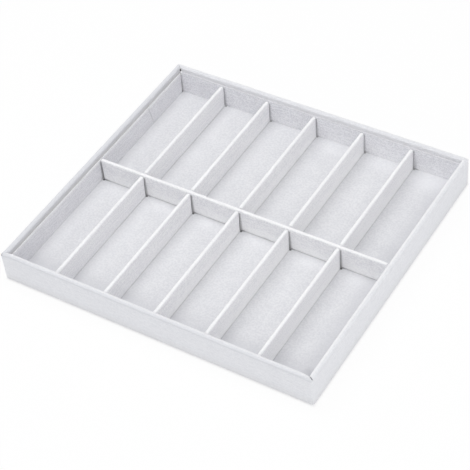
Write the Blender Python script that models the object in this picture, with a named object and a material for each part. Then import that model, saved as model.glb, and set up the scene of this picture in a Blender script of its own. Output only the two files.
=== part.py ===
"""Velvet-lined open tray for folded glasses: two rows of six compartments.

Metres, +Z up. The origin is under the middle of the tray, on the surface it stands on.
X runs along the six columns, Y from the front row to the back row.
"""

import bmesh
import bpy
from math import cos, pi, sin

for old_object in list(bpy.data.objects):
    bpy.data.objects.remove(old_object, do_unlink=True)

# Overall size
tray_width = 0.380
tray_depth = 0.354
tray_height = 0.0384

# Air left between pieces that are glued face to face
clearance = 0.0003

# Rigid boards: four walls round a base
wall_thickness = 0.0045
board_edge_radius = 0.0016
base_thickness = 0.0015

# Leatherette wrap, in one piece from under the base, over the rim and down inside
skin_thickness = 0.0005
corner_radius = 0.0030
bottom_edge_radius = 0.0014
inner_fold_radius = 0.0003
turn_in_depth = 0.0160
flange_width = 0.0140

# Crowned rim: it rises from a shoulder at the outside to a narrow flat, and falls again inside
crown_inset = 0.0040
crown_flat = 0.0010
outer_crown_drop = 0.0019
inner_crown_drop = 0.0020

# Diagonal cut that lets the wrap turn the corner of the rim
mitre_gap = 0.0006
mitre_outer_end = 0.0022
mitre_overrun = 0.0010

# Paper pasted under the base, over the edge of the wrap
paper_thickness = 0.0003
paper_margin = 0.0040
paper_step_run = 0.0015

# Velvet and the card strips that line the walls
velvet_thickness = 0.0005
liner_card_thickness = 0.0007
liner_drop = 0.0056
liner_edge_radius = 0.0005
liner_end_gap = 0.0009
left_seam_from_back = 0.0793
left_seam_lean = 0.0064
left_seam_gap = 0.0006
floor_edge_gap = 0.0005

# Dividers: a card core in a velvet sleeve
columns = 6
outer_column_trim = 0.0018
divider_card_thickness = 0.0030
divider_drop = 0.0056
divider_edge_radius = 0.0018
divider_corner_radius = 0.0035
divider_end_gap = 0.0010
long_divider_end_gap = 0.0014

# Facets per quarter turn
corner_facets = 5
edge_facets = 4
crown_facets = 5
core_facets = 2

# Heights that follow from the stack under the floor
cover_bottom = paper_thickness + clearance
base_bottom = cover_bottom + skin_thickness + clearance
base_top = base_bottom + base_thickness
floor_bottom = base_top + clearance
floor_top = floor_bottom + velvet_thickness
divider_bottom = floor_top + clearance
divider_top = tray_height - divider_drop
liner_top = tray_height - liner_drop
board_top = tray_height - skin_thickness - clearance

# Distances in from the outside face
board_outer = skin_thickness + clearance
board_inner = board_outer + wall_thickness
rim_width = board_inner + clearance + skin_thickness
liner_depth = clearance + liner_card_thickness + clearance + velvet_thickness
lined_inset = rim_width + liner_depth
half_width = tray_width / 2
half_depth = tray_depth / 2
lined_half_width = half_width - lined_inset
lined_half_depth = half_depth - lined_inset

# Column spacing: the outer columns are a little narrower than the rest
divider_thickness = divider_card_thickness + 2 * (clearance + velvet_thickness)
free_width = 2 * lined_half_width - (columns - 1) * divider_thickness
column_width = (free_width + 2 * outer_column_trim) / columns
column_pitch = column_width + divider_thickness

# Finishes: colour, roughness
leatherette = ((0.86, 0.86, 0.87), 0.55)
board_grey = ((0.52, 0.50, 0.46), 0.90)
card_white = ((0.78, 0.78, 0.77), 0.85)
base_paper = ((0.80, 0.80, 0.80), 0.80)
velvet = ((0.80, 0.80, 0.82), 0.95)


def oval(centre, across, up, start, end, facets):
    """Points of a stretch of an ellipse, from one angle to another, in quarter turns."""
    angles = [(start + (end - start) * step / facets) * pi / 2 for step in range(facets + 1)]
    return [(centre[0] + across * cos(a), centre[1] + up * sin(a)) for a in angles]


def arc(centre, radius, start, end, facets):
    """Points of a round stretch."""
    return oval(centre, radius, radius, start, end, facets)


def finish(solid, look):
    """Gives a solid its own plain material."""
    colour, roughness = look
    material = bpy.data.materials.new(solid.name + "_finish")
    material.use_nodes = True
    shader = material.node_tree.nodes["Principled BSDF"]
    shader.inputs["Base Color"].default_value = (*colour, 1.0)
    shader.inputs["Roughness"].default_value = roughness
    shader.inputs["Metallic"].default_value = 0.0
    solid.data.materials.append(material)


def place(name, shape, look):
    """Turns a bmesh into a named object."""
    mesh = bpy.data.meshes.new(name)
    shape.to_mesh(mesh)
    shape.free()
    solid = bpy.data.objects.new(name, mesh)
    bpy.context.scene.collection.objects.link(solid)
    finish(solid, look)
    return solid


def bridge_rings(shape, rings, closed):
    """Skins a row of rings that have as many points each, caps or joins the ends, and turns faces outward."""
    count = len(rings[0])
    loops = [[shape.verts.new(point) for point in ring] for ring in rings]
    followers = loops[1:] + ([loops[0]] if closed else [])
    for lower, upper in zip(loops, followers):
        for i in range(count):
            j = (i + 1) % count
            shape.faces.new((lower[i], lower[j], upper[j], upper[i]))
    if not closed:
        shape.faces.new(loops[0])
        shape.faces.new(loops[-1])
    bmesh.ops.recalc_face_normals(shape, faces=shape.faces)


def plan_ring(inset, height):
    """The tray's outline in plan, this far in from the outside, with rounded corners."""
    x = half_width - inset
    y = half_depth - inset
    radius = max(corner_radius - inset, inner_fold_radius)
    corners = ((x, y, 0), (-x, y, 1), (-x, -y, 2), (x, -y, 3))
    ring = []
    for corner_x, corner_y, turn in corners:
        centre = (corner_x - radius * (1 if corner_x > 0 else -1),
                  corner_y - radius * (1 if corner_y > 0 else -1))
        ring += [(px, py, height) for px, py in arc(centre, radius, turn, turn + 1, corner_facets)]
    return ring


def swept(name, profile, closed, look):
    """A profile of (inset, height) points carried round the tray's outline."""
    shape = bmesh.new()
    bridge_rings(shape, [plan_ring(inset, height) for inset, height in profile], closed)
    return place(name, shape, look)


def extruded(name, profile, start, end, to_world, look):
    """A flat profile drawn out from start to end, turned into place by to_world(a, b, along)."""
    shape = bmesh.new()
    rings = [[to_world(a, b, along) for a, b in profile] for along in (start, end)]
    bridge_rings(shape, rings, closed=False)
    return place(name, shape, look)


# Leatherette cover


def cover_path(offset):
    """The wrap's section, from the flange under the base to the turn-in, offset in from its outside."""
    low = cover_bottom + bottom_edge_radius
    rise = crown_inset - crown_flat / 2
    fall = crown_inset + crown_flat / 2
    path = [(flange_width, cover_bottom + offset)]
    path += arc((bottom_edge_radius, low), bottom_edge_radius - offset, 3, 2, edge_facets)
    path += oval((rise, tray_height - outer_crown_drop), rise - offset, outer_crown_drop - offset,
                 2, 1, crown_facets)
    path += oval((fall, tray_height - inner_crown_drop), rim_width - fall - offset,
                 inner_crown_drop - offset, 1, 0, crown_facets)
    path.append((rim_width - offset, tray_height - turn_in_depth))
    return path


def mitre_cutters():
    """Four thin upright blades across the rim's corners, joined in one cutting object."""
    shape = bmesh.new()
    low = tray_height - turn_in_depth - mitre_overrun
    high = tray_height + mitre_overrun
    reach = rim_width + mitre_overrun
    side = mitre_gap / 2 / 2 ** 0.5
    for sign_x, sign_y in ((1, 1), (-1, 1), (-1, -1), (1, -1)):
        rings = []
        for height in (low, high):
            ring = []
            corners = ((mitre_outer_end, side), (mitre_outer_end, -side), (reach, -side), (reach, side))
            for inset, shift in corners:
                x = half_width - inset + shift
                y = half_depth - inset - shift
                ring.append((sign_x * x, sign_y * y, height))
            rings.append(ring)
        bridge_rings(shape, rings, closed=False)
    cutter = place("mitre_cutters", shape, leatherette)
    cutter.hide_render = True
    cutter.display_type = "WIRE"
    return cutter


cover = swept("outer_cover", cover_path(0) + cover_path(skin_thickness)[::-1], True, leatherette)
mitre_cut = cover.modifiers.new("mitre_cut", "BOOLEAN")
mitre_cut.operation = "DIFFERENCE"
mitre_cut.solver = "EXACT"
mitre_cut.object = mitre_cutters()
cover.data.shade_smooth()
cover.data.set_sharp_from_angle(angle=pi / 5)


# Boards that give the tray its shape


def wall_board(name, outline):
    """An upright board from its outline in plan, its top edges rounded to sit under the crowned rim."""
    shape = bmesh.new()
    rings = [[(x, y, height) for x, y in outline] for height in (base_bottom, board_top)]
    bridge_rings(shape, rings, closed=False)
    top_edges = [edge for edge in shape.edges if all(vert.co.z > base_top for vert in edge.verts)]
    radius = min(board_edge_radius, 0.45 * wall_thickness)
    bmesh.ops.bevel(shape, geom=top_edges, offset=radius, segments=core_facets, profile=0.5, affect="EDGES")
    return place(name, shape, board_grey)


def cross_board_outline(side):
    """Front or back board: full width, its outer corners rounded inside the wrap."""
    x = half_width - board_outer
    y_outer = half_depth - board_outer
    y_inner = half_depth - board_inner
    radius = max(corner_radius - board_outer, inner_fold_radius)
    outline = [(x, y_inner)]
    outline += arc((x - radius, y_outer - radius), radius, 0, 1, corner_facets)
    outline += arc((radius - x, y_outer - radius), radius, 1, 2, corner_facets)
    outline.append((-x, y_inner))
    return [(px, side * py) for px, py in outline]


def side_board_outline(side):
    """Left or right board: between the front and back boards."""
    x_outer = side * (half_width - board_outer)
    x_inner = side * (half_width - board_inner)
    y = half_depth - board_inner - clearance
    return [(x_outer, -y), (x_outer, y), (x_inner, y), (x_inner, -y)]


wall_board("wall_board_front", cross_board_outline(-1))
wall_board("wall_board_back", cross_board_outline(1))
wall_board("wall_board_left", side_board_outline(-1))
wall_board("wall_board_right", side_board_outline(1))


def slab(name, inset, low, high, look):
    """A flat sheet with square corners, this far in from the tray's outside all round."""
    x = half_width - inset
    y = half_depth - inset
    outline = [(x, y), (-x, y), (-x, -y), (x, -y)]
    return extruded(name, outline, low, high, lambda a, b, along: (a, b, along), look)


slab("base_board", board_inner + clearance, base_bottom, base_top, board_grey)

# Paper under the base: it lies on the wrap's flange and steps up to the base inside it
step_start = flange_width + clearance
step_end = step_start + paper_step_run
step_rise = skin_thickness + clearance
paper_profile = [
    (step_end, step_rise),
    (step_start, 0),
    (paper_margin, 0),
    (paper_margin, paper_thickness),
    (step_start, paper_thickness),
    (step_end, paper_thickness + step_rise),
]
swept("underside_paper", paper_profile, False, base_paper)


# Wall liners: a card strip with velvet over its face and top edge

card_profile = [
    (clearance, floor_bottom),
    (clearance + liner_card_thickness, floor_bottom),
    (clearance + liner_card_thickness, liner_top - velvet_thickness - clearance),
    (clearance, liner_top - velvet_thickness - clearance),
]


def liner_velvet_profile():
    """Down the face and over the top edge, with the two upper edges rounded."""
    face = liner_depth
    radius = min(liner_edge_radius, velvet_thickness)
    high = liner_top - radius
    profile = [(face - velvet_thickness, floor_bottom), (face, floor_bottom)]
    profile += arc((face - radius, high), radius, 0, 1, core_facets)
    profile += arc((clearance + radius, high), radius, 1, 2, core_facets)
    if radius < velvet_thickness:
        profile.append((clearance, liner_top - velvet_thickness))
    profile.append((face - velvet_thickness, liner_top - velvet_thickness))
    return profile


def liner(name, start, end, to_world):
    """One card strip and its velvet, from start to end along a wall."""
    extruded(name + "_card", card_profile, start, end, to_world, card_white)
    extruded(name + "_velvet", liner_velvet_profile(), start, end, to_world, velvet)


wall_face_x = half_width - rim_width
wall_face_y = half_depth - rim_width
cross_liner_end = wall_face_x - clearance
side_liner_end = lined_half_depth - liner_end_gap
left_seam = half_depth - left_seam_from_back


def seam_slant(along, height):
    """Shifts the two ends that meet at the left wall's seam, so that the seam leans back on its way down."""
    if abs(along - left_seam) > left_seam_gap:
        return along
    return along + left_seam_lean * (liner_top - height) / (liner_top - floor_bottom)


liner("liner_front", -cross_liner_end, cross_liner_end, lambda a, b, along: (along, a - wall_face_y, b))
liner("liner_back", -cross_liner_end, cross_liner_end, lambda a, b, along: (along, wall_face_y - a, b))
liner("liner_right", -side_liner_end, side_liner_end, lambda a, b, along: (wall_face_x - a, along, b))
liner("liner_left_front", -side_liner_end, left_seam - left_seam_gap / 2,
      lambda a, b, along: (a - wall_face_x, seam_slant(along, b), b))
liner("liner_left_back", left_seam + left_seam_gap / 2, side_liner_end,
      lambda a, b, along: (a - wall_face_x, seam_slant(along, b), b))

slab("floor_velvet", lined_inset + floor_edge_gap, floor_bottom, floor_top, velvet)


# Dividers


def upright_panel(half_length, half_thickness, high, corner, edge, facets):
    """A board on edge along X: upper corners rounded in side view, long edges rounded in section."""
    side_view = [(half_length, divider_bottom)]
    side_view += arc((half_length - corner, high - corner), corner, 0, 1, corner_facets)
    side_view += arc((corner - half_length, high - corner), corner, 1, 2, corner_facets)
    side_view.append((-half_length, divider_bottom))
    shape = bmesh.new()
    rings = [[(x, y, z) for x, z in side_view] for y in (-half_thickness, half_thickness)]
    bridge_rings(shape, rings, closed=False)
    rim = []
    for edge_line in shape.edges:
        first, second = (vert.co for vert in edge_line.verts)
        in_face = abs(first.y - second.y) < clearance
        on_floor = max(first.z, second.z) < divider_bottom + clearance
        if in_face and not on_floor:
            rim.append(edge_line)
    bmesh.ops.bevel(shape, geom=rim, offset=edge, segments=facets, profile=0.5, affect="EDGES")
    return shape


def open_the_bottom(shape):
    """Takes away the faces that stand on the floor."""
    limit = divider_bottom + clearance
    under = [face for face in shape.faces if all(vert.co.z < limit for vert in face.verts)]
    bmesh.ops.delete(shape, geom=under, context="FACES")


def divider(kind, number, length, centre, turn):
    """A card core and the velvet sleeve over it, centred on a point of the floor."""
    wall = velvet_thickness + clearance
    edge = min(divider_edge_radius, 0.45 * divider_thickness)
    core_shape = upright_panel(length / 2 - wall, divider_card_thickness / 2, divider_top - wall,
                               max(divider_corner_radius - wall, clearance), max(edge - wall, clearance),
                               core_facets)
    sleeve_shape = upright_panel(length / 2, divider_thickness / 2, divider_top,
                                 divider_corner_radius, edge, edge_facets)
    open_the_bottom(sleeve_shape)
    core = place(kind + "_card" + number, core_shape, card_white)
    sleeve = place(kind + "_velvet" + number, sleeve_shape, velvet)
    thicken = sleeve.modifiers.new("thicken", "SOLIDIFY")
    thicken.thickness = velvet_thickness
    thicken.offset = -1
    thicken.use_even_offset = True
    sleeve.data.shade_smooth()
    for piece in (core, sleeve):
        piece.location = (centre[0], centre[1], 0)
        piece.rotation_euler = (0, 0, turn)


divider("long_divider", "", 2 * (lined_half_width - long_divider_end_gap), (0, 0), 0)

row_start = divider_thickness / 2 + divider_end_gap
row_end = lined_half_depth - divider_end_gap
short_length = row_end - row_start
row_centre = (row_start + row_end) / 2
for row, side in (("front", -1), ("back", 1)):
    for gap_number in range(1, columns):
        centre = ((gap_number - columns / 2) * column_pitch, side * row_centre)
        divider(row + "_divider", "_" + str(gap_number), short_length, centre, pi / 2)
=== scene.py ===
import math
import bmesh
import bpy
from mathutils import Matrix, Vector, noise


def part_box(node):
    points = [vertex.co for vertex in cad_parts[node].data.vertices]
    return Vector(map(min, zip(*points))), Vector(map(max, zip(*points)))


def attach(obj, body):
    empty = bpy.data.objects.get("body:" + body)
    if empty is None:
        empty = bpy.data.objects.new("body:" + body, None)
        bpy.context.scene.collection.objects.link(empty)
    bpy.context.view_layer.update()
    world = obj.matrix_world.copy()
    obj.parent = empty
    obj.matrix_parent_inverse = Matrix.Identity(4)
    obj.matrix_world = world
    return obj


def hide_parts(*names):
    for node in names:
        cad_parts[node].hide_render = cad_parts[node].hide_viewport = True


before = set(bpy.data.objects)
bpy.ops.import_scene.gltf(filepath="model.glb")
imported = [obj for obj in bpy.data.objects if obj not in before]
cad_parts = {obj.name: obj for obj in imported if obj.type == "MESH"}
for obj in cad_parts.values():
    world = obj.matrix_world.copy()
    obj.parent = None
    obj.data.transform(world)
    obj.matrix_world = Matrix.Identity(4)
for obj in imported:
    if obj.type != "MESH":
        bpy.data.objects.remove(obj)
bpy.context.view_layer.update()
print("frame loaded:", len(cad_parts), "nodes")

# Places that several pieces share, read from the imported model
glueGap = 0.0003
coverLow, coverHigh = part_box("outer_cover")
halfWidth, halfDepth, rimTop = coverHigh.x, coverHigh.y, coverHigh.z
backLinerLow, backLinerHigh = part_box("liner_back_velvet")
rimWidth = halfDepth - backLinerHigh.y - glueGap
shoulder = rimTop - 0.0019  # where the crowned rim starts
linedEnd = backLinerLow.y  # the back wall's lined face
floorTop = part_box("floor_velvet")[1].z
longLow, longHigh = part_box("long_divider_velvet")
crownTop = longHigh.z  # level with the liners' top edge
firstLow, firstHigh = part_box("front_divider_velvet_1")
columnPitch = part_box("front_divider_velvet_2")[0].x - firstLow.x
shortHalf = (firstHigh.x - firstLow.x) / 2
frontRowEnd = firstHigh.y
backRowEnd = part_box("back_divider_velvet_1")[1].y


# Selecting and shaping

def leaveAll():
    if bpy.context.mode != "OBJECT":
        bpy.ops.object.mode_set(mode="OBJECT")
    bpy.ops.object.select_all(action="DESELECT")


def workOn(piece):
    leaveAll()
    piece.select_set(True)
    bpy.context.view_layer.objects.active = piece


def settle(piece, name):  # puts the place and size into the mesh
    workOn(piece)
    piece.name = piece.data.name = name
    bpy.ops.object.transform_apply(location=True, rotation=True, scale=True)
    return piece


def addBlock(name, low, high):
    leaveAll()
    bpy.ops.mesh.primitive_cube_add(size=1, location=(low + high) / 2, scale=high - low)
    return settle(bpy.context.object, name)


def pick(piece, kind, wanted):  # selects vertices, edges or faces by a test of each
    if bpy.context.mode != "EDIT_MESH":
        workOn(piece)
        bpy.ops.object.mode_set(mode="EDIT")
    bpy.ops.mesh.select_mode(type=kind)
    bpy.ops.mesh.select_all(action="DESELECT")
    shape = bmesh.from_edit_mesh(piece.data)
    items = {"VERT": shape.verts, "EDGE": shape.edges, "FACE": shape.faces}[kind]
    found = [item for item in items if wanted(item)]
    for item in found:
        item.select_set(True)
    shape.select_flush_mode()
    bmesh.update_edit_mesh(piece.data)
    return len(found)


def runOf(edge):  # how far an edge goes along X, Y and Z
    first, second = edge.verts
    return Vector(abs(value) for value in second.co - first.co)


def divide(piece, wanted, cuts):
    pick(piece, "EDGE", wanted)
    bpy.ops.mesh.subdivide(number_cuts=cuts)


def divideAlong(piece, axis, length, cell):  # in two passes, as one makes at most 100 cuts
    parts = max(round(length / cell / 10), 2)
    for reach, cuts in ((0.05, parts - 1), (7 * cell, 9)):
        divide(piece, lambda edge: runOf(edge)[axis] > reach, cuts)


def roundOff(piece, wanted, radius, segments):
    pick(piece, "EDGE", wanted)
    bpy.ops.mesh.bevel(offset=radius, segments=segments)


def bothEnds(edge, test):
    return all(test(vert.co) for vert in edge.verts)


def thicken(piece, thickness):
    workOn(piece)
    wall = piece.modifiers.new("wall", "SOLIDIFY")
    wall.thickness = thickness
    wall.offset = -1
    wall.use_quality_normals = True
    bpy.ops.object.modifier_apply(modifier=wall.name)


def smooth(piece, degrees):
    workOn(piece)
    bpy.ops.object.shade_smooth_by_angle(angle=math.radians(degrees))


def duplicate(piece, name, shift):
    workOn(piece)
    bpy.ops.object.duplicate(linked=False)
    copy = bpy.context.object
    copy.location = shift
    return settle(copy, name)


def ease(value, low, high):  # 0 below low, 1 above high, smooth between
    share = min(max((value - low) / (high - low), 0), 1)
    return share * share * (3 - 2 * share)


def wander(place, size, seed=0.0):  # smooth noise from about -1 to 1
    return noise.noise(Vector(place) / size + Vector((seed * 7.31, seed * 3.17, seed * 5.53)))


def fallenOn(place):  # 0 at the dividers' and liners' tops, 1 at the floor
    return (crownTop - place.z) / (crownTop - floorTop)


def dress(piece, material):
    piece.data.materials.clear()
    piece.data.materials.append(material)


def finishPiece(piece, node, material):
    dress(piece, material)
    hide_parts(node)
    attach(piece, "root")


# Shader trees

class Signal:  # a socket that is added and scaled like a number
    def __init__(self, tree, socket=None):
        self.tree = tree
        self.socket = socket

    def node(self, kind, values=None, settings=None, out=0):
        made = self.tree.nodes.new("ShaderNode" + kind)
        for key, value in (settings or {}).items():
            setattr(made, key, value)
        for key, value in (values or {}).items():
            if isinstance(value, Signal):
                self.tree.links.new(value.socket, made.inputs[key])
            else:
                made.inputs[key].default_value = value
        return Signal(self.tree, made.outputs[out])

    def maths(self, operation, *terms):
        return self.node("Math", dict(enumerate(terms)), {"operation": operation})

    def __add__(self, other):
        return self.maths("ADD", self, other)

    def __sub__(self, other):
        return self.maths("SUBTRACT", self, other)

    def __rsub__(self, other):
        return self.maths("SUBTRACT", other, self)

    def __mul__(self, other):
        return self.maths("MULTIPLY", self, other)

    def __truediv__(self, other):
        return self.maths("DIVIDE", self, other)

    def __abs__(self):
        return self.maths("ABSOLUTE", self)

    __radd__ = __add__
    __rmul__ = __mul__

    def between(self, low, high):  # 0 at low, 1 at high
        return self.node("MapRange", {0: self, 1: low, 2: high}, {"interpolation_type": "SMOOTHSTEP"})

    def colours(self, low, high):  # from one colour to another by this signal
        first, second = (value if isinstance(value, Signal) else (*value, 1) for value in (low, high))
        return self.node("Mix", {0: self, 6: first, 7: second}, {"data_type": "RGBA"}, out=2)

    def noise(self, size, detail=2, roughness=0.5):  # this signal is a place
        return self.node("TexNoise", {
            "Vector": self, "Scale": 1 / size, "Detail": detail, "Roughness": roughness})

    def feed(self, socket):
        self.tree.links.new(self.socket, socket)


def newFinish(name, fixed):
    material = bpy.data.materials.new(name)
    material.use_nodes = True
    shader = material.node_tree.nodes["Principled BSDF"]
    for key, value in fixed.items():
        shader.inputs[key].default_value = value
    place = Signal(material.node_tree).node("TexCoord", out="Object")
    return material, shader, place


def axes(place):
    parts = place.node("SeparateXYZ", {0: place})
    return [Signal(place.tree, socket) for socket in parts.socket.node.outputs]


def highest(first, *others):
    for other in others:
        first = first.maths("MAXIMUM", first, other)
    return first


def distance(*parts):  # from the place where all the parts are 0
    total = sum(part * part for part in parts)
    return total.maths("SQRT", total)


def fromDivider(x):  # how far to the right of the nearest column line, negative to its left
    columns = x / columnPitch + 0.5
    return (columns.maths("FLOORED_MODULO", columns, 1.0) - 0.5) * columnPitch


def bumpUp(height, depth, shader):
    bump = height.node("Bump", {"Distance": depth, "Height": height}, out="Normal")
    bump.feed(shader.inputs["Normal"])


def paint(shader, base, roughness):
    base.feed(shader.inputs["Base Color"])
    roughness.feed(shader.inputs["Roughness"])


# Joints: painted shade in the gaps at the dividers' ends, a painted haze of shade beside them, and painted
# dots, tails and thin lines of shade at their feet
jointLook = {
    "dark": (0.06, 0.06, 0.065), "halfWidth": 0.0030, "soft": 0.0005, "start": 0.0025, "full": 0.0045,
    # how far each gap reaches onto the divider at the top, how much more at the floor, and how dark it is
    "front": (0.0003, 0.0005, 0.42), "back": (0.0001, 0.0004, 0.24), "left": (0.0001, 0.0004, 0.40),
    # the haze is fainter at the back, apart from a wider one at the last divider there
    "haze": 0.0052, "hazeDark": 0.20, "backHaze": 0.6, "lastHaze": 1.4, "lastHazeReach": 0.0078,
    "footReach": 0.0006, "footDark": 0.15, "shortFootDark": 0.06,
    # tails at the front, at the back, and how much more at the last divider at the back
    "tail": 0.0085, "leftTail": 0.0136, "tailWidth": 0.0013, "tailDark": (0.45, 0.16, 0.34),
    "dot": 0.0019, "dotAside": 0.0008, "dotDark": (0.85, 0.55, 0.95),
}


def jointShade(place, look):  # how much painted shade the joints put on each place, from 0 to 1
    x, y, z = axes(place)
    across = abs(fromDivider(x))
    atDivider = abs(x).between(columnPitch * 2.4, columnPitch * 2.3)
    lastInBack = x.between(columnPitch * 1.5, columnPitch * 1.9) * y.between(0, 0.01)
    up = z - floorTop
    gaps = gapShade(x, y, z, across, atDivider, lastInBack, look)
    feet = footShade(x, y, up, across, atDivider, lastInBack, look)
    return highest(gaps, feet, dotShade(x, y, up, across, atDivider, look))


def gapShade(x, y, z, across, atDivider, lastInBack, look):
    soft, half = look["soft"], look["halfWidth"]
    fallen = z.between(crownTop - look["start"], floorTop + 0.003)
    frontReach, frontBelow, frontDark = look["front"]
    backReach, backBelow, backDark = look["back"]
    leftReach, leftBelow, leftDark = look["left"]
    frontEnd = frontRowEnd - frontReach - fallen * frontBelow
    backEnd = backRowEnd - backReach - fallen * backBelow
    leftEnd = longLow.x + leftReach + fallen * leftBelow
    inWidth = across.between(half + soft, half) * atDivider
    inLength = abs(y).between(half + soft, half)
    beforeLong = y.between(longLow.y + 0.0007, longLow.y + 0.0005)
    front = inWidth * y.between(frontEnd - soft, frontEnd) * beforeLong * frontDark
    back = inWidth * y.between(backEnd - soft, backEnd) * backDark
    left = inLength * x.between(leftEnd + soft, leftEnd) * leftDark
    gaps = highest(front, back, left) * z.between(crownTop - look["start"], crownTop - look["full"])

    besideShort = across.between(look["haze"], half) * atDivider * (1 - front)
    besideLong = abs(y).between(look["haze"], half)
    besideLast = across.between(look["lastHazeReach"], half) * lastInBack
    besideBack = highest(besideShort * look["backHaze"], besideLast * look["lastHaze"])
    haze = besideShort * y.between(frontEnd - 0.0002, frontEnd) * beforeLong
    haze += besideBack * y.between(backRowEnd - 0.0004, backRowEnd)
    haze += besideLong * x.between(longLow.x + 0.0004, longLow.x)
    return highest(gaps, haze * fallen * look["hazeDark"])


def footShade(x, y, up, across, atDivider, lastInBack, look):  # painted shade: lines along the feet, and the dots' tails
    nearer, further = look["footReach"] - 0.0003, look["footReach"] + 0.0003
    longFoot = abs(y).between(further - longLow.y, nearer - longLow.y) * look["footDark"]
    shortFoot = across.between(shortHalf + further, shortHalf + nearer) * look["shortFootDark"]
    feet = highest(longFoot, shortFoot) * up.between(0.0008, 0.0004)

    width = look["tailWidth"]
    frontDark, backDark, lastDark = look["tailDark"]
    frontSeam = distance(y - longLow.y + 0.0002, up).between(width, width * 0.5)
    backSeam = distance(y - backRowEnd - 0.0008, up).between(width, width * 0.5)
    tail = across.between(shortHalf + look["tail"], shortHalf + 0.002) * atDivider
    leftTail = x.between(longLow.x + look["leftTail"], longLow.x + 0.003)
    frontTail = frontSeam * highest(tail, leftTail) * frontDark
    return highest(feet, frontTail, backSeam * tail * (backDark + lastDark * lastInBack))


def dotShade(x, y, up, across, atDivider, look):
    besideShort = across - shortHalf - look["dotAside"]
    besideLong = abs(y) + longLow.y - look["dotAside"]
    front = distance(besideShort, y - frontRowEnd + 0.0008, up)
    back = distance(besideShort, y - backRowEnd + 0.0004, up)
    left = distance(besideLong, x - longLow.x - 0.0004, up)
    dots = [away.between(look["dot"], look["dot"] * 0.5) * dark
            for away, dark in zip((front, back, left), look["dotDark"])]
    return highest(dots[0] * atDivider, dots[1] * atDivider, dots[2])


# Leatherette: fine pebbled grain with faint streaks that run along each wall
leatherLook = {
    "colour": (0.845, 0.850, 0.870), "hollow": (0.675, 0.683, 0.713), "lowShade": (0.650, 0.646, 0.650),
    "pebble": 0.0009, "streakLength": 0.014, "streakWidth": 0.0008,
    "fold": (0.66, 0.655, 0.67), "foldDrop": 0.0005,
    "crease": (0.60, 0.61, 0.64), "creaseHalf": 0.0007, "creaseFront": 0.45, "creaseElse": 0.12,
    # each wall's rim: how much painted shade its outer half gets and how much painted highlight its inner
    # half gets, the other way if below 0
    "rimShade": (0.68, 0.69, 0.72), "rimHighlight": (0.93, 0.93, 0.94),
    "rims": {"front": (0.60, 0.35), "right": (-0.10, 0.65), "left": (0.66, -1.0), "back": (-0.42, -0.25)},
    "depth": 0.00010, "roughness": 0.52, "faceShade": 0.20, "lowShadeHeight": 0.013,
    # painted shade along the front right slit, and at the tip of the front left corner
    "openingShade": (0.04, 0.04, 0.045), "slitFrom": (0.1842, -0.1718), "slitTo": (0.1890, -0.1747),
    "slitHalf": 0.00045, "slitDark": (0.25, 0.90), "slitLow": 0.0340,
    "tip": (-0.1885, -0.1768, 0.0370), "tipReach": 0.0014, "tipDark": 0.5,
}


def pebbles(place, size):  # cells whose outlines wander
    shaken = place.node("TexNoise", {"Vector": place, "Scale": 700}, out="Color")
    shift = place.node("VectorMath", {0: shaken, "Scale": 0.0007}, {"operation": "SCALE"})
    moved = place.node("VectorMath", {0: place, 1: shift}, {"operation": "ADD"})
    return place.node("TexVoronoi", {"Vector": moved, "Scale": 1 / size, "Smoothness": 0.6},
                      {"feature": "SMOOTH_F1"}, out="Distance")


def slitAndTipShade(x, y, z, look):
    (fromX, fromY), (toX, toY) = look["slitFrom"], look["slitTo"]
    length = math.hypot(toX - fromX, toY - fromY)
    alongX, alongY = (toX - fromX) / length, (toY - fromY) / length
    run = (x - fromX) * alongX + (y - fromY) * alongY
    aside = abs((x - fromX) * alongY - (y - fromY) * alongX)
    faint, strong = look["slitDark"]
    slit = aside.between(look["slitHalf"] * 1.5, look["slitHalf"] * 0.7)
    slit *= z.between(look["slitLow"], look["slitLow"] + 0.001)
    slit *= run.between(-0.0002, 0.0004) * run.between(length + 0.0003, length - 0.0003)
    slit *= faint + (strong - faint) * run.between(0, length)
    tipX, tipY, tipZ = look["tip"]
    away = distance(x - tipX, y - tipY, z - tipZ)
    return highest(slit, away.between(look["tipReach"], look["tipReach"] * 0.4) * look["tipDark"])


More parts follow.
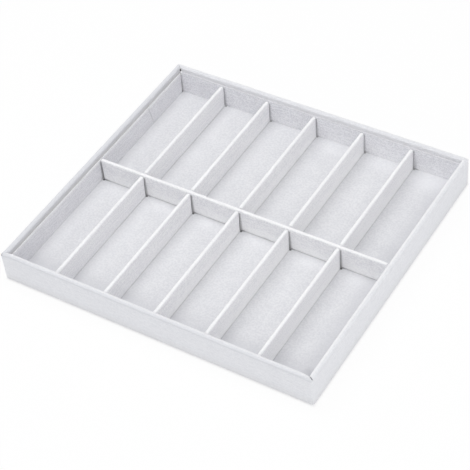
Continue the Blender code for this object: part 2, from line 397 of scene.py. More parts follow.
def leatherFinish(look):
    material, shader, place = newFinish("leatherette", {"Specular IOR Level": 0.45})
    x, y, z = axes(place)
    sideInset = halfWidth - abs(x)
    crossInset = halfDepth - abs(y)
    inset = sideInset.maths("MINIMUM", sideInset, crossInset)
    onSide = sideInset.maths("LESS_THAN", sideInset, crossInset)
    along = x + onSide * (y - x)
    unrolled = along.node("CombineXYZ", {
        "X": along / look["streakLength"], "Y": (z + inset) / look["streakWidth"], "Z": onSide * 9})
    streak = unrolled.noise(1.0, 3, 0.6)
    pebble = pebbles(place, look["pebble"])
    cloud = place.noise(0.035, 3, 0.55)
    pore = place.noise(0.0003, 1)
    bumpUp((1 - pebble) * 0.7 + streak * 0.5 + pore * 0.12, look["depth"], shader)
    blotch = place.noise(0.0032).between(0.35, 0.65)
    light = streak.between(0.38, 0.62) * 0.35 + blotch * 0.2 + cloud * 0.1
    light += (1 - pebble.between(0.2, 0.7)) * 0.35
    base = light.colours(look["hollow"], look["colour"])
    # painted shade: the lowest part of the outside is darker towards the floor
    nearFloor = z.between(look["lowShadeHeight"], 0.001)
    base = (nearFloor * (0.22 + 0.40 * cloud)).colours(base, look["lowShade"])

    # painted shade on the left turn-in, and in the crease under the crown, most of all in front
    folded = inset.between(rimWidth - 0.0026, rimWidth - 0.0006)
    folded *= z.between(rimTop - look["foldDrop"], rimTop - look["foldDrop"] * 2.5)
    leftSide = x.between(-halfWidth + 0.012, -halfWidth + 0.008)
    base = (folded * 0.85 * leftSide).colours(base, look["fold"])
    sway = place.noise(0.012) * 0.0016 - 0.0008
    crease = abs(z + sway - shoulder).between(look["creaseHalf"] * 1.6, look["creaseHalf"] * 0.2)
    inFront = y.between(0, -0.01) * (1 - onSide)
    crease *= look["creaseElse"] + inFront * (look["creaseFront"] - look["creaseElse"])
    base = (crease * (0.6 + 0.8 * cloud)).colours(base, look["crease"])

    # painted shade or a painted highlight on each rim's outer half, and so on its inner half, by which way
    # it faces the light
    walls = {"front": inFront, "back": y.between(0, 0.01) * (1 - onSide),
             "left": x.between(0, -0.01) * onSide, "right": x.between(0, 0.01) * onSide}
    onCrown = z.between(shoulder - 0.0010, shoulder + 0.0006)
    outerHalf = onCrown * inset.between(0.0042, 0.0016)
    innerHalf = onCrown * inset.between(0.0024, 0.0044)
    # painted shade on the top of the outside faces, just under the shoulder
    paintedShade = z.between(shoulder + 0.0002, shoulder - 0.0012) * inset.between(0.0020, 0.0010)
    paintedShade *= look["faceShade"]
    # painted light on the back wall's turn-in
    pale = folded * walls["back"] * 0.4
    for name, (outer, inner) in look["rims"].items():
        for half, amount in ((outerHalf, outer), (innerHalf, -inner)):
            if amount > 0:
                paintedShade += walls[name] * half * amount
            else:
                pale += walls[name] * half * -amount
    base = pale.colours(paintedShade.colours(base, look["rimShade"]), look["rimHighlight"])
    base = slitAndTipShade(x, y, z, look).colours(base, look["openingShade"])
    paint(shader, base, look["roughness"] + (streak - 0.5) * 0.16 + (cloud - 0.5) * 0.1)
    return material


# Velvet: short pile with brushed patches, with a painted highlight where it turns over a divider's top edge
# and painted shade where it turns over a liner's top edge
velvetLook = {
    "divider": {"colour": (0.99, 0.99, 0.995), "deep": (0.79, 0.79, 0.82), "crown": (0.975, 0.975, 0.98),
                "sheen": 0.50},
    "liner": {"colour": (0.965, 0.965, 0.99), "deep": (0.72, 0.72, 0.755), "crown": (0.67, 0.67, 0.695),
              "sheen": 0.30},
    "foot": (0.995, 0.995, 0.995), "footHeight": 0.019, "leftWall": (0.60, 0.595, 0.61),
    "tuft": 0.0016, "pile": 0.00035, "patch": 0.022, "brushLength": 0.016, "brushWidth": 0.0011,
    "drift": 0.16, "depth": 0.00045, "roughness": 0.88,
}


def velvetFinish(name, kind, look):
    own = look[kind]
    material, shader, place = newFinish(name, {
        "Sheen Weight": own["sheen"], "Sheen Roughness": 0.45, "Specular IOR Level": 0.2})
    x, y, z = axes(place)
    sideInset = halfWidth - abs(x)
    onSide = sideInset.maths("LESS_THAN", sideInset, 0.009)  # the side walls' liners
    along = x + onSide * (y - x)
    strokes = along.node("CombineXYZ", {
        "X": along / look["brushLength"], "Y": z / look["brushWidth"], "Z": (y - x) * 30})
    brushed = strokes.noise(1.0, 3, 0.6)
    tuft = place.noise(look["tuft"], 3, 0.65)
    pile = place.noise(look["pile"], 1)
    patch = place.noise(look["patch"])
    bumpUp(tuft * 0.55 + pile * 0.35 + brushed * 0.2, look["depth"], shader)
    light = tuft.between(0.38, 0.62) * 0.62 + patch * 0.12 + brushed.between(0.38, 0.62) * 0.38 - 0.05
    light += (x.between(-0.16, 0.16) - 0.5) * look["drift"]  # paler from left to right
    base = light.colours(own["deep"], own["colour"])

    # painted light on the feet, though hardly on the front, back and left walls and the short dividers on
    # the left
    onLong = abs(y).between(0.0030, 0.0026)
    betweenWalls = abs(y).between(linedEnd + 0.0002, linedEnd - 0.0004)
    lit = 0.15 + 0.85 * betweenWalls * highest(onLong, x.between(-0.13, 0.05))
    foot = z.between(floorTop + look["footHeight"], floorTop + 0.001) * lit
    base = (foot * (0.50 + 0.45 * light)).colours(base, look["foot"])

    # painted shade on the left wall, and a painted highlight just under its top edge
    onLeft = onSide * x.between(0, -0.01)
    leftWall = onLeft * z.between(crownTop - 0.0015, crownTop - 0.0060)
    base = (leftWall * (0.04 + 0.24 * patch)).colours(base, look["leftWall"])
    underEdge = onLeft * z.between(crownTop - 0.0055, crownTop - 0.0030)
    base = (underEdge * 0.30).colours(base, look["foot"])
    # painted highlight over the dividers' crowns, painted shade over the liners' top edges
    crown = z.between(crownTop - 0.0016, crownTop - 0.0004) * (1 - onSide * 0.85)
    base = (crown * (0.58 + 0.42 * tuft.between(0.35, 0.65))).colours(base, own["crown"])
    # painted shade at the dividers' joints
    base = jointShade(place, jointLook).colours(base, jointLook["dark"])
    paint(shader, base, look["roughness"] + (tuft - 0.5) * 0.15)
    return material


# Floor: suede-like weave, with painted shade before the front and right walls and painted light beside the
# dividers, where their pile throws light
floorLook = {
    "colour": (0.843, 0.846, 0.861), "deep": (0.703, 0.708, 0.733), "thread": 0.0011,
    "shade": (0.66, 0.665, 0.69), "shadeReach": 0.044, "shadeDark": 0.55,
    # a painted shade spot that starts at this distance from the right and front outsides
    "corner": (0.42, 0.42, 0.45), "cornerFrom": (0.0228, 0.0315), "cornerReach": 0.011, "cornerDark": 0.38,
    "shine": (0.945, 0.95, 0.968), "shineReach": 0.028, "shineAmount": 0.38,
    "tuft": 0.0022, "pile": 0.0004, "depth": 0.00024, "roughness": 0.92, "sheen": 0.25,
}


def floorFinish(look):
    material, shader, place = newFinish("floorSuede", {
        "Sheen Weight": look["sheen"], "Sheen Roughness": 0.5, "Specular IOR Level": 0.15})
    x, y = axes(place)[:2]
    sway = place.noise(0.004) * 1.8
    turn = 2 * math.pi / look["thread"]
    weft = x.maths("SINE", x * turn + sway)
    warp = y.maths("SINE", y * turn + sway)
    weave = weft * warp * 0.5 + 0.5
    tuft = place.noise(look["tuft"], 3, 0.6)
    pile = place.noise(look["pile"], 1)
    patch = place.noise(0.017, 3, 0.55)
    bumpUp(weave * 0.35 + tuft * 0.4 + pile * 0.3, look["depth"], shader)
    light = weave * 0.15 + tuft.between(0.34, 0.66) * 0.6 + patch.between(0.2, 0.8) * 0.25
    base = light.colours(look["deep"], look["colour"])

    # painted light to the right and in front of the dividers, and at two places near the back wall
    beyond = fromDivider(x)
    besideShort = beyond.between(look["shineReach"], 0.006) * beyond.between(0, 0.00006)
    besideShort *= 1 - x.between(-0.13, 0.05) * 0.6
    besideLong = y.between(-look["shineReach"], -0.006) * y.between(0, -0.001)
    nearBack = x.between(-0.04, 0.03) * y.between(0.140, 0.156) * 0.7
    backRight = x.between(columnPitch * 2, columnPitch * 2.08) * y.between(0.130, 0.155) * 1.3
    shine = highest(besideShort, besideLong, nearBack, backRight) * look["shineAmount"]
    base = shine.colours(base, look["shine"])

    # painted shade before the front and right walls, fainter at the back, with a darker painted spot in
    # their corner
    frontGap, rightGap = y + halfDepth, halfWidth - x
    nearest = frontGap.maths("MINIMUM", frontGap - 0.008, rightGap)
    shaded = nearest.between(look["shadeReach"], look["shadeReach"] * 0.45)
    shaded *= 1 - y.between(0.125, 0.160) * 0.6
    base = (shaded * look["shadeDark"]).colours(base, look["shade"])
    fromRight, fromFront = look["cornerFrom"]
    away = distance(highest(frontGap - fromFront, 0), highest(rightGap - fromRight, 0))
    base = (away.between(look["cornerReach"], 0) * look["cornerDark"]).colours(base, look["corner"])
    # painted shade at the dividers' joints, on the floor
    base = jointShade(place, jointLook).colours(base, jointLook["dark"])
    paint(shader, base, look["roughness"] + (patch - 0.5) * 0.12)
    return material


# Board, card and paper: pressed fibres in different sizes
fibreLook = {
    "greyBoard": {"colour": (0.20, 0.195, 0.19), "deep": (0.12, 0.118, 0.115),
                  "fibre": 0.0011, "depth": 0.00009},
    "whiteCard": {"colour": (0.78, 0.78, 0.77), "deep": (0.68, 0.68, 0.665),
                  "fibre": 0.0007, "depth": 0.00005},
    "basePaper": {"colour": (0.84, 0.84, 0.835), "deep": (0.68, 0.68, 0.68),
                  "fibre": 0.0017, "depth": 0.00008},
}


def fibreFinish(name, look):
    material, shader, place = newFinish(name, {"Specular IOR Level": 0.2})
    x, y, z = axes(place)
    stretched = x.node("CombineXYZ", {"X": x, "Y": y * 0.3, "Z": z * 0.6})
    fibre = stretched.noise(look["fibre"], 4, 0.7)
    fleck = place.node("TexVoronoi", {"Vector": stretched, "Scale": 0.35 / look["fibre"]}, out="Distance")
    cloud = place.noise(0.03)
    bumpUp(fibre, look["depth"], shader)
    light = fibre.between(0.3, 0.7) * 0.5 + fleck.between(0.0, 0.5) * 0.2 + cloud.between(0.3, 0.7) * 0.3
    paint(shader, light.colours(look["deep"], look["colour"]), 0.85 + (fibre - 0.5) * 0.15)
    return material


leatherette = leatherFinish(leatherLook)
dividerVelvet = velvetFinish("dividerVelvet", "divider", velvetLook)
linerVelvet = velvetFinish("linerVelvet", "liner", velvetLook)
floorSuede = floorFinish(floorLook)
fibres = {name: fibreFinish(name, look) for name, look in fibreLook.items()}
print("finishes made")


# Cover: one wrap from under the base, over the crowned rim and down inside
coverLook = {
    "cornerRadius": 0.0030, "bottomRadius": 0.0014, "skin": 0.0005, "column": 0.0020,
    # the crown lies flat between these depths from the outside, on rings at these turns of its two rounds
    "crownFrom": 0.0033, "crownTo": 0.0037, "innerDrop": 0.0022,
    "outerTurns": (15, 28, 40, 52, 66), "innerTurns": (18, 36, 54, 72, 90),
    "turnIn": 0.0160, "flange": 0.0140, "closeRows": (0.0004, 0.0009, 0.0016, 0.0026, 0.0040, 0.0058),
    "faceWave": 0.00016, "rimWave": 0.00016, "innerBulge": 0.0003,
    "lean": 0.00030, "leanHeight": 0.0065, "creaseDepth": 0.00042, "creaseWidth": 0.0007,
    # each corner of the rim: where the slit starts and how far down the outside it runs,
    # half its opening outside, halfway, inside and in the fold below, how its outer end is turned,
    # how far the cross band curls down beside it and along what reach, and how far the corner stands out
    "slits": {
        (1, -1): {"start": 0.0003, "drop": 0.0, "gaps": (0.00042, 0.00024, 0.00008), "hole": 0.0002,
                  "turn": (0.00075, 0.00085), "curl": 0.0006, "reach": 0.006, "swell": 0.0},
        (-1, 1): {"start": -0.0001, "drop": 0.0010, "gaps": (0.00022, 0.00003, 0.00030), "hole": 0.0013,
                  "turn": (0, 0), "curl": 0.0003, "reach": 0.005, "swell": 0.0},
        (-1, -1): {"start": -0.0001, "drop": 0.0012, "gaps": (0.00060, 0.00002, 0.00010), "hole": 0.0016,
                   "turn": (0, 0), "curl": 0.0003, "reach": 0.005, "swell": 0.0009},
        (1, 1): {"start": 0.0020, "drop": 0.0, "gaps": (0.00004, 0.00006, 0.00010), "hole": 0.0002,
                 "turn": (0, 0), "curl": 0.0002, "reach": 0.005, "swell": 0.0},
    },
    "holeHeight": 0.0045, "foldLowest": 0.018, "turnMiddle": 0.0012, "turnReach": 0.0038,
}


def insets(place):  # distance in from the side walls' and the cross walls' outside
    return halfWidth - abs(place.x), halfDepth - abs(place.y)


def cornerOf(place):
    return (1 if place.x > 0 else -1, 1 if place.y > 0 else -1)


def depthIn(place):  # distance in from the outline, which is rounded at the corners
    radius = coverLook["cornerRadius"]
    side, cross = insets(place)
    if side < radius and cross < radius:
        return radius - math.hypot(radius - side, radius - cross)
    return min(side, cross)


def crownHeight(depth, look):
    rise, fall = look["crownFrom"], look["crownTo"]
    if depth < rise:
        return shoulder + (rimTop - shoulder) * math.sqrt(max(1 - ((rise - depth) / rise) ** 2, 0))
    if depth > fall:
        share = min((depth - fall) / (rimWidth - fall), 1)
        return rimTop - look["innerDrop"] * (1 - math.sqrt(1 - share ** 2))
    return rimTop


def isWideFace(face, up):
    return face.normal.z * up > 0.99 and face.calc_area() > 0.01


def insetRings(piece, up, depths, start):
    for depth in depths:
        pick(piece, "FACE", lambda face: isWideFace(face, up))
        bpy.ops.mesh.inset(thickness=depth - start)
        start = depth


def squareCorners(piece, level, inset):  # makes each corner's arc one point, and gives the points' depth
    reach = coverLook["cornerRadius"] + 0.0003
    for signX in (-1, 1):
        for signY in (-1, 1):
            pick(piece, "VERT", lambda vert: abs(vert.co.z - level) < 1e-5
                 and cornerOf(vert.co) == (signX, signY)
                 and all(inset - 1e-5 < gap < reach for gap in insets(vert.co)))
            bpy.ops.mesh.merge(type="CENTER")
    depths = [min(insets(vert.co)) for vert in bmesh.from_edit_mesh(piece.data).verts]
    return min(depth for depth in depths if depth > inset + 1e-5)


def makeCover(look):
    cover = addBlock("coverWrap", coverLow, Vector((coverHigh.x, coverHigh.y, shoulder)))
    roundOff(cover, lambda edge: runOf(edge).z > 0.01, look["cornerRadius"], 8)
    roundOff(cover, lambda edge: bothEnds(edge, lambda place: place.z < coverLow.z + 1e-5),
             look["bottomRadius"], 5)

    # top: rings with rounded corners, then rings with square ones, then the fold down inside
    rise, fall = look["crownFrom"], look["crownTo"]
    outer = [rise * (1 - math.cos(math.radians(turn))) for turn in look["outerTurns"]]
    insetRings(cover, 1, outer, 0)
    squared = squareCorners(cover, shoulder, outer[-1])
    inner = [fall + (rimWidth - fall) * math.sin(math.radians(turn)) for turn in look["innerTurns"]]
    insetRings(cover, 1, [(squared + rise) / 2, rise, fall, *inner], squared)
    pick(cover, "FACE", lambda face: isWideFace(face, 1))
    bpy.ops.mesh.extrude_region_move(
        TRANSFORM_OT_translate={"value": (0, 0, rimTop - look["turnIn"] - shoulder)})
    bpy.ops.mesh.delete(type="FACE")

    # bottom: flange with square corners, open in the middle
    ring = look["bottomRadius"] + 0.0012
    insetRings(cover, -1, [ring], look["bottomRadius"])
    insetRings(cover, -1, [look["flange"]], squareCorners(cover, coverLow.z, ring))
    pick(cover, "FACE", lambda face: isWideFace(face, -1))
    bpy.ops.mesh.delete(type="FACE")

    # even columns along the walls, rows down the faces, and close rows under the shoulder
    divideAlong(cover, 0, coverHigh.x - coverLow.x, look["column"])
    divideAlong(cover, 1, coverHigh.y - coverLow.y, look["column"])
    for drop in look["closeRows"]:
        pick(cover, "FACE", lambda face: abs(face.normal.z) < 0.1
             and not 0.001 < depthIn(face.calc_center_median()) < rimWidth - 0.001)
        bpy.ops.mesh.bisect(plane_co=(0, 0, shoulder - drop), plane_no=(0, 0, 1))
    divide(cover, lambda edge: runOf(edge).z > 0.02, 9)
    divide(cover, lambda edge: 0.02 > runOf(edge).z > 0.01, 5)

    # slits: the bands of two walls part along each corner's diagonal
    pick(cover, "EDGE", lambda edge: bothEnds(edge, lambda place: onSlit(place, look)))
    bpy.ops.mesh.edge_split(type="EDGE")
    leaveAll()
    return cover


def onSlit(place, look):
    side, cross = insets(place)
    slit = look["slits"][cornerOf(place)]
    inFold = side > look["cornerRadius"]
    lowest = look["foldLowest"] if inFold else shoulder - slit["drop"] - 1e-5
    return abs(side - cross) < 2e-5 and depthIn(place) > slit["start"] and place.z > lowest


def slitGap(place, slit, look):  # half the slit's opening
    fallen = (shoulder - place.z) / look["holeHeight"]
    if insets(place)[0] > look["cornerRadius"] and fallen > 0.01:  # the fold closes again lower down
        return 0.00005 + slit["hole"] * math.sin(math.pi * min(fallen, 1))
    outside, halfway, inside = slit["gaps"]
    way = ease(depthIn(place), 0.0, rimWidth) * 2  # 1 is halfway
    if way < 1:
        return outside + (halfway - outside) * way
    return halfway + (inside - halfway) * (way - 1)


def openSlits(cover, look):
    centres = {}
    for face in cover.data.polygons:
        for index in face.vertices:
            centres.setdefault(index, []).append(face.center)
    shared = {}
    for vertex in cover.data.vertices:
        if onSlit(vertex.co, look):
            shared.setdefault(tuple(round(value, 6) for value in vertex.co), []).append(vertex)
    for twins in shared.values():
        if len(twins) < 2:
            continue
        for vertex in twins:
            around = centres[vertex.index]
            sideMiddle, crossMiddle = insets(sum(around, Vector()) / len(around))
            corner = cornerOf(vertex.co)
            gap = slitGap(vertex.co, look["slits"][corner], look)
            if crossMiddle < sideMiddle:  # the band of a front or back wall
                vertex.co.x -= corner[0] * gap
            else:
                vertex.co.y -= corner[1] * gap


def turnSlits(cover, look):  # the slit's outer end leaves the diagonal and nears the side wall's face
    for vertex in cover.data.vertices:
        if vertex.co.z < shoulder - 1e-5:
            continue
        side, cross = insets(vertex.co)
        corner = cornerOf(vertex.co)
        outward, back = look["slits"][corner]["turn"]
        middle = look["turnMiddle"]
        pull = 1 - ease(math.hypot(side - middle, cross - middle), 0, look["turnReach"])
        pull *= ease(depthIn(vertex.co), 0, 0.0003)
        vertex.co += Vector((corner[0] * outward, -corner[1] * back, 0)) * pull


def shapeCorners(cover, look):  # the cross band curls down beside its slit, and the whole corner stands out
    for vertex in cover.data.vertices:
        side, cross = insets(vertex.co)
        corner = cornerOf(vertex.co)
        slit = look["slits"][corner]
        if vertex.co.z > 0.0300 and cross < side + 2e-5:
            fall = 1 - ease(side - cross, 0, slit["reach"])
            vertex.co.z -= slit["curl"] * fall * ease(cross, 0.0012, 0.0050)
        near = 1 - ease(math.hypot(side, cross), 0.0005, 0.0080)
        vertex.co += Vector((corner[0], corner[1], 0)) * slit["swell"] * 0.7 * near


def raiseCrown(cover, look):
    for vertex in cover.data.vertices:
        if vertex.co.z > shoulder - 1e-5:
            vertex.co.z = crownHeight(depthIn(vertex.co), look)


def roughenCover(cover, look):
    for vertex in cover.data.vertices:
        place = vertex.co.copy()
        side, cross = insets(place)
        inset = min(side, cross)
        signX, signY = cornerOf(place)
        inFront = cross <= side and signY < 0
        if side < cross:  # the walls' numbers set their waves apart
            wall, along, out = 2 if signX > 0 else 3, place.y, Vector((signX, 0, 0))
        else:
            wall, along, out = 5 if inFront else 4, place.x, Vector((0, signY, 0))
        calm = ease(max(side, cross), 0.004, 0.016)  # the corners keep their shape
        move = Vector()
        if inset < 0.0007 and place.z > 0.002:  # the outside face, which leans in and is creased at the top
            bulge = wander((along, place.z, wall), 0.030, wall)
            bulge += wander((along, place.z * 2, wall), 0.008, wall) * 0.25
            move += out * bulge * look["faceWave"] * ease(place.z, 0.002, 0.008)
            move -= out * look["lean"] * ease(place.z, shoulder - look["leanHeight"] * 1.6, shoulder) ** 1.5
            groove = math.exp(-((place.z - shoulder) / look["creaseWidth"]) ** 2)
            depth = look["creaseDepth"] * (1.0 if inFront else 0.5)
            move -= out * groove * depth * (0.8 + 0.5 * wander((along, wall, 0), 0.020, 2))
        low = rimTop - 0.0035
        if place.z > low:  # the rim
            wave = look["rimWave"] * ease(place.z, low, rimTop - 0.0010)
            move.z += wander((along, inset * 1.5, wall), 0.012, 6) * wave
            move += out * wander((along, wall, inset * 0.5), 0.015, 9) * wave
            bulge = ease(inset, 0.0045, 0.0058) * ease(place.z, low, rimTop - 0.0015)
            move -= out * look["innerBulge"] * bulge
        vertex.co = place + move * calm


cover = makeCover(coverLook)
openSlits(cover, coverLook)
turnSlits(cover, coverLook)
raiseCrown(cover, coverLook)
shapeCorners(cover, coverLook)
roughenCover(cover, coverLook)
thicken(cover, coverLook["skin"])
smooth(cover, 40)
finishPiece(cover, "outer_cover", leatherette)
print("cover wrapped:", len(cover.data.polygons), "faces")


# Dividers: a velvet sleeve over each card, soft at the crown and open underneath
sleeveLook = {
    "crownRadius": 0.0020, "crownSegments": 7, "crownHeight": 0.0038, "crownFullness": 2.7,
    "endRadius": 0.0027, "endSegments": 7, "endCell": 0.0056, "endReach": 0.012,
    "lower": 0.0, "levels": (0.0028, 0.0036, 0.0045, 0.0056), "open": True, "column": 0.0009, "rows": 12,
    "thickness": 0.0005, "tuft": 0.00011, "crownWave": 0.00016, "faceWave": 0.00008,
    "hemLift": 0.00012, "longHemLift": 0.0003,
    # how far each end falls short of its place, at the top and at the floor
    "shortfall": {
        "long": ((-0.0012, -0.0003), (-0.0006, 0.0004)),
        "front": ((-0.0004, 0.0004), (-0.0007, 0.0006)),
        "back": ((-0.0004, 0.0002), (-0.0007, 0.0004)),
    },
}
coreLook = {
    "crownRadius": 0.0007, "crownSegments": 3, "endRadius": 0.0030, "endSegments": 5, "endCell": 0.0056,
    "lower": 0.0012, "levels": (), "open": False, "column": 0.004, "rows": 8,
}


def makeRidge(name, node, look):  # a block with a rounded crown, whose ends are rounded at the top
    low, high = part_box(node)
    size = high - low
    long, thin = (0, 1) if size.x > size.y else (1, 0)
    longWay = Vector((1, 0, 0)) if long == 0 else Vector((0, 1, 0))
    high.z -= look["lower"]
    ridge = addBlock(name, low, high)
    for end, sign in ((low, 1), (high, -1)):  # cells that hold the rounded ends
        pick(ridge, "FACE", lambda face: True)
        bpy.ops.mesh.bisect(plane_co=end + longWay * sign * look["endCell"], plane_no=longWay)
    for drop in look["levels"]:
        pick(ridge, "FACE", lambda face: abs(face.normal.z) < 0.5)
        bpy.ops.mesh.bisect(plane_co=(0, 0, high.z - drop), plane_no=(0, 0, 1))
    roundOff(ridge, lambda edge: runOf(edge)[thin] > 0.001 and bothEnds(
        edge, lambda place: place.z > high.z - 1e-5
        and not low[long] + 1e-5 < place[long] < high[long] - 1e-5), look["endRadius"], look["endSegments"])
    roundOff(ridge, lambda edge: runOf(edge)[thin] < 1e-5 and edge.calc_face_angle(0) > 0.5
             and not bothEnds(edge, lambda place: place.z < low.z + 1e-5),
             look["crownRadius"], look["crownSegments"])
    if look["open"]:
        pick(ridge, "FACE", lambda face: face.normal.z < -0.9)
        bpy.ops.mesh.delete(type="FACE")
    divideAlong(ridge, long, size[long], look["column"])
    divide(ridge, lambda edge: runOf(edge).z > 0.015, look["rows"])
    leaveAll()
    return ridge


def slimCrown(sleeve, thin, look):  # the sides draw in towards the crown, as an egg does
    low, high = Vector(sleeve.bound_box[0]), Vector(sleeve.bound_box[6])
    middle, half = (low[thin] + high[thin]) / 2, (high[thin] - low[thin]) / 2
    fullness = look["crownFullness"]
    for vertex in sleeve.data.vertices:
        up = 1 - (high.z - vertex.co.z) / look["crownHeight"]
        if up > 0:
            room = half * (1 - min(up, 1) ** fullness) ** (1 / fullness)
            across = vertex.co[thin] - middle
            kept = min(abs(across), max(room, abs(across) * 0.16))
            vertex.co[thin] = middle + math.copysign(kept, across)


def pullEnds(piece, kind, least):  # least is the smallest shortfall
    long = 0 if kind == "long" else 1
    places = [vertex.co[long] for vertex in piece.data.vertices]
    ends = (min(places), max(places))
    for vertex in piece.data.vertices:
        fallen = ease(fallenOn(vertex.co), 0.05, 0.85)
        for end, sign, (above, below) in zip(ends, (1, -1), sleeveLook["shortfall"][kind]):
            near = 1 - ease(abs(vertex.co[long] - end), 0, sleeveLook["endReach"])
            vertex.co[long] += sign * near * max(above + (below - above) * fallen, least)


def ruffleSleeve(sleeve, seed, look, hemLift):
    low, high = Vector(sleeve.bound_box[0]), Vector(sleeve.bound_box[6])
    outward = [vertex.normal.copy() for vertex in sleeve.data.vertices]
    for vertex, normal in zip(sleeve.data.vertices, outward):
        place = vertex.co.copy()
        crown = ease(place.z, high.z - 0.006, high.z - 0.001)
        move = normal * wander(place, 0.0017, seed) * look["tuft"] * (0.3 + 0.7 * crown)
        move += normal * wander(place, 0.017, seed + 3) * look["faceWave"]
        move.z += (wander((place.x, place.y, 0), 0.014, seed + 5) - 0.3) * look["crownWave"] * crown
        hem = 1 - ease(place.z, low.z, low.z + 0.0030)
        move.z += hemLift * hem * (0.7 + 0.6 * wander((place.x, place.y, 0), 0.009, seed + 8))
        vertex.co = place + move


def finishSleeve(sleeve, node, kind, seed, hemLift):
    pullEnds(sleeve, kind, -1)
    ruffleSleeve(sleeve, seed, sleeveLook, hemLift)
    thicken(sleeve, sleeveLook["thickness"])
    smooth(sleeve, 50)
    finishPiece(sleeve, node, dividerVelvet)


def finishCore(core, node, kind):
    pullEnds(core, kind, 0.0)  # a card reaches no further than its solid
    smooth(core, 40)
    finishPiece(core, node, fibres["whiteCard"])


longSleeve = makeRidge("longSleeve", "long_divider_velvet", sleeveLook)
plainSleeve = makeRidge("shortSleeve", "front_divider_velvet_1", sleeveLook)
slimCrown(longSleeve, 1, sleeveLook)
slimCrown(plainSleeve, 0, sleeveLook)
longCore = makeRidge("longCore", "long_divider_card", coreLook)
plainCore = makeRidge("shortCore", "front_divider_card_1", coreLook)
sleeves = []
for row in ("front", "back"):
    for number in range(1, 6):
        node = f"{row}_divider_velvet_{number}"
        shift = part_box(node)[0] - firstLow
        sleeve = duplicate(plainSleeve, f"{row}Sleeve{number}", shift)
        core = duplicate(plainCore, f"{row}Core{number}", shift)
        sleeves.append((sleeve, core, row, node))
bpy.data.objects.remove(plainSleeve)
bpy.data.objects.remove(plainCore)
finishSleeve(longSleeve, "long_divider_velvet", "long", 1, sleeveLook["longHemLift"])
finishCore(longCore, "long_divider_card", "long")
for seed, (sleeve, core, row, node) in enumerate(sleeves):
    finishSleeve(sleeve, node, row, seed + 11, sleeveLook["hemLift"])
    finishCore(core, node.replace("velvet", "card"), row)
print("dividers sleeved:", len(sleeves) + 1)


# Wall liners: velvet down the face and over the card's top edge
linerLook = {
    "edgeRadius": 0.00085, "column": 0.0016, "rows": 10, "thickness": 0.00042,
    "wave": 0.00010, "topWave": 0.00018, "seamLean": 0.0064, "seamReach": 0.020,
    "lap": 0.00018, "sag": 0.0002, "leftSag": 0.0010, "backGap": 0.0004, "backGapBelow": 0.0012,
}


def makeLiner(name, node, look):
    low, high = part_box(node)
    size = high - low
    long, thin = (0, 1) if size.x > size.y else (1, 0)
    middle = (low + high) / 2
    inward = -math.copysign(1, middle[thin])  # towards the compartments
    strip = addBlock(name, low, high)
    roundOff(strip, lambda edge: runOf(edge)[long] > 0.01 and bothEnds(
        edge, lambda place: place.z > high.z - 1e-5 and (place - middle)[thin] * inward > 0),
        look["edgeRadius"], 6)
    pick(strip, "FACE", lambda face: face.normal.z < -0.9 or abs(face.normal[long]) > 0.9
         or face.normal[thin] * inward < -0.99)
    bpy.ops.mesh.delete(type="FACE")
    divideAlong(strip, long, size[long], look["column"])
    divide(strip, lambda edge: runOf(edge).z > 0.01, look["rows"])
    leaveAll()
    return strip, inward, thin


def ruffleLiner(strip, seed, inward, thin, sag, look):
    back = min(vertex.co[thin] * inward for vertex in strip.data.vertices)
    for vertex in strip.data.vertices:
        place = vertex.co.copy()
        along = place[1 - thin]
        top = ease(place.z, crownTop - 0.004, crownTop)
        place.z -= sag * top
        if place[thin] * inward < back + 1e-5:
            place[thin] -= inward * look["lap"]  # laps up to the cover's fold
        place[thin] += inward * wander((along, place.z, 0), 0.016, seed) * look["wave"]
        place.z += (wander((along, 0, 0), 0.022, seed + 2) - 0.2) * look["topWave"] * top
        vertex.co = place


def openBackEnd(strip, end, look):  # the left wall's velvet falls short of the back wall, more so lower down
    for vertex in strip.data.vertices:
        near = 1 - ease(abs(vertex.co.y - end), 0, 0.012)
        vertex.co.y -= near * (look["backGap"] + look["backGapBelow"] * fallenOn(vertex.co))


def leanSeam(strip, seam, kept, look):  # slants a strip's end about its place at the top (0) or floor (1)
    for vertex in strip.data.vertices:
        near = 1 - ease(abs(vertex.co.y - seam), 0, look["seamReach"])
        vertex.co.y += near * look["seamLean"] * (fallenOn(vertex.co) - kept)


linedWalls = ("front", "back", "right", "left_front", "left_back")
for seed, wall in enumerate(linedWalls):
    node = f"liner_{wall}_velvet"
    low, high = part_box(node)
    strip, inward, thin = makeLiner("liner" + wall.title().replace("_", ""), node, linerLook)
    if wall == "left_front":
        leanSeam(strip, high.y, 1, linerLook)
    if wall == "left_back":
        leanSeam(strip, low.y, 0, linerLook)
        openBackEnd(strip, high.y, linerLook)
    sag = linerLook["leftSag"] if "left" in wall else linerLook["sag"]
    ruffleLiner(strip, seed + 31, inward, thin, sag, linerLook)
    thicken(strip, linerLook["thickness"])
    smooth(strip, 50)
    finishPiece(strip, node, linerVelvet)
print("walls lined:", len(linedWalls))


# Floor: one sheet of suede-like velvet, a little fuller in the middle of each compartment
floorSheetLook = {
    "cell": 0.0026, "thickness": 0.00045, "reach": 0.00042, "fullness": 0.00022, "wave": 0.00005,
}


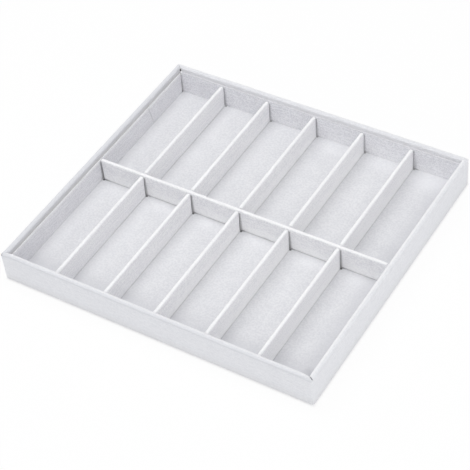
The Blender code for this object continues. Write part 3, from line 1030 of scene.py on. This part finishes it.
def makeFloor(look):
    low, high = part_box("floor_velvet")
    size = high - low
    leaveAll()
    bpy.ops.mesh.primitive_grid_add(
        x_subdivisions=round(size.x / look["cell"]), y_subdivisions=round(size.y / look["cell"]), size=1,
        location=((low.x + high.x) / 2, (low.y + high.y) / 2, high.z))
    bpy.context.object.scale = (size.x + look["reach"] * 2, size.y + look["reach"] * 2, 1)
    sheet = settle(bpy.context.object, "floorSheet")
    dividers = [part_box(f"front_divider_velvet_{number}") for number in range(1, 6)]
    lines = [low.x, high.x] + [(left.x + right.x) / 2 for left, right in dividers]
    for vertex in sheet.data.vertices:
        place = vertex.co
        edge = min([abs(place.x - line) for line in lines] + [abs(place.y), abs(abs(place.y) - high.y)])
        wave = (wander(place, 0.011, 4) - 1) * look["wave"]
        place.z += ease(edge, 0.003, 0.020) * look["fullness"] + wave
    thicken(sheet, look["thickness"])
    smooth(sheet, 40)
    finishPiece(sheet, "floor_velvet", floorSuede)


makeFloor(floorSheetLook)
print("floor laid")


# The boards, cards and paper keep their solids and get their own finishes
for name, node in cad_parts.items():
    if "board" in name:
        finish = fibres["greyBoard"]
    elif "card" in name:
        finish = fibres["whiteCard"]
    elif name == "underside_paper":
        finish = fibres["basePaper"]
    else:
        continue
    dress(node, finish)


# Studio: pale floor, white surroundings for the camera, soft light from behind on the left
studioLook = {
    "floorColour": (0.94, 0.94, 0.94), "floorGlow": 0.21, "floorWhite": (0.32, 0.93), "shadeReach": 0.0022,
    "skyColour": (0.985, 0.985, 1.0), "sky": 0.60,
    # each lamp's place and power
    "lampSize": 0.7, "lamps": {
        "key": ((-0.39, 0.13, 1.23), 3.1),
        "left": ((-0.65, 0.0, 1.13), 1.7),
        "overhead": ((0.0, 0.0, 1.3), 1.1),
        "right": ((0.78, 0.0, 1.04), 2.1),
        "rightLow": ((1.26, -0.25, 0.18), 1.2),
        "front": ((0.13, -1.17, 0.55), 1.5),
    },
}
photoView = {
    "azimuth": 35.70, "elevation": 45.16, "roll": -6.45, "distance": 1.71824,
    "aim": (-0.00207, -0.00906, 0.0), "focalPixels": 1569.74, "framePixels": 470,
}


def seenDirectly(start):
    path = start.node("LightPath").socket.node.outputs
    kinds = ("Is Camera Ray", "Is Glossy Ray", "Is Transmission Ray")
    return highest(*(Signal(start.tree, path[kind]) for kind in kinds))


def makeGround(look):  # it lights the tray from below, unseen, and shows its shadow only close to it
    leaveAll()
    bpy.ops.mesh.primitive_plane_add(size=8, location=(0, 0, -0.0002))
    ground = settle(bpy.context.object, "studioFloor")
    material, shader, place = newFinish("paleFloor", {
        "Base Color": (*look["floorColour"], 1), "Roughness": 1.0, "Specular IOR Level": 0.0})
    x, y = axes(place)[:2]
    away = highest(abs(x) - halfWidth, abs(y) - halfDepth)
    near, far = look["floorWhite"]
    white = near + away.between(-0.002, look["shadeReach"]) * (far - near)
    seen = seenDirectly(place)
    seen.colours((look["floorGlow"],) * 3, (0, 0, 0)).feed(shader.inputs["Emission Color"])
    shader.inputs["Emission Strength"].default_value = 1.0
    own = Signal(place.tree, shader.outputs[0])
    glow = place.node("Emission", {"Color": (1, 1, 1, 1), "Strength": 1.0})
    mixed = place.node("MixShader", {0: seen * white, 1: own, 2: glow})
    mixed.feed(material.node_tree.nodes["Material Output"].inputs["Surface"])
    ground.data.materials.append(material)


def makeSky(look):
    world = bpy.data.worlds.new("studio")
    world.use_nodes = True
    bpy.context.scene.world = world
    start = Signal(world.node_tree)
    sky = start.node("Background", {"Color": (*look["skyColour"], 1), "Strength": look["sky"]})
    white = start.node("Background", {"Color": (1, 1, 1, 1), "Strength": 1.0})
    both = start.node("MixShader", {0: seenDirectly(start), 1: sky, 2: white})
    both.feed(world.node_tree.nodes["World Output"].inputs["Surface"])


def addToScene(name, data, turned):
    holder = bpy.data.objects.new(name, data)
    holder.matrix_world = turned
    bpy.context.scene.collection.objects.link(holder)
    return holder


def makeLamps(look):
    for name, (place, power) in look["lamps"].items():
        light = bpy.data.lights.new(name, "AREA")
        light.energy = power
        light.size = look["lampSize"]
        aimed = (-Vector(place)).to_track_quat("-Z", "Y").to_matrix().to_4x4()
        addToScene(name, light, Matrix.Translation(place) @ aimed)


def makeCamera(look):
    turn, rise, roll = (math.radians(look[key]) for key in ("azimuth", "elevation", "roll"))
    back = Vector((math.sin(turn) * math.cos(rise), -math.cos(turn) * math.cos(rise), math.sin(rise)))
    right = (-back).cross(Vector((0, 0, 1))).normalized()
    up = back.cross(right)
    rolledRight = right * math.cos(roll) + up * math.sin(roll)
    rolledUp = up * math.cos(roll) - right * math.sin(roll)
    lens = bpy.data.cameras.new("camera")
    lens.lens = lens.sensor_width * look["focalPixels"] / look["framePixels"]
    turned = Matrix((rolledRight, rolledUp, back)).transposed().to_4x4()
    moved = Matrix.Translation(Vector(look["aim"]) + back * look["distance"])
    bpy.context.scene.camera = addToScene("camera", lens, moved @ turned)


makeGround(studioLook)
makeSky(studioLook)
makeLamps(studioLook)
makeCamera(photoView)
bpy.context.scene.view_settings.view_transform = "Standard"
print("studio lit")

leaveAll()
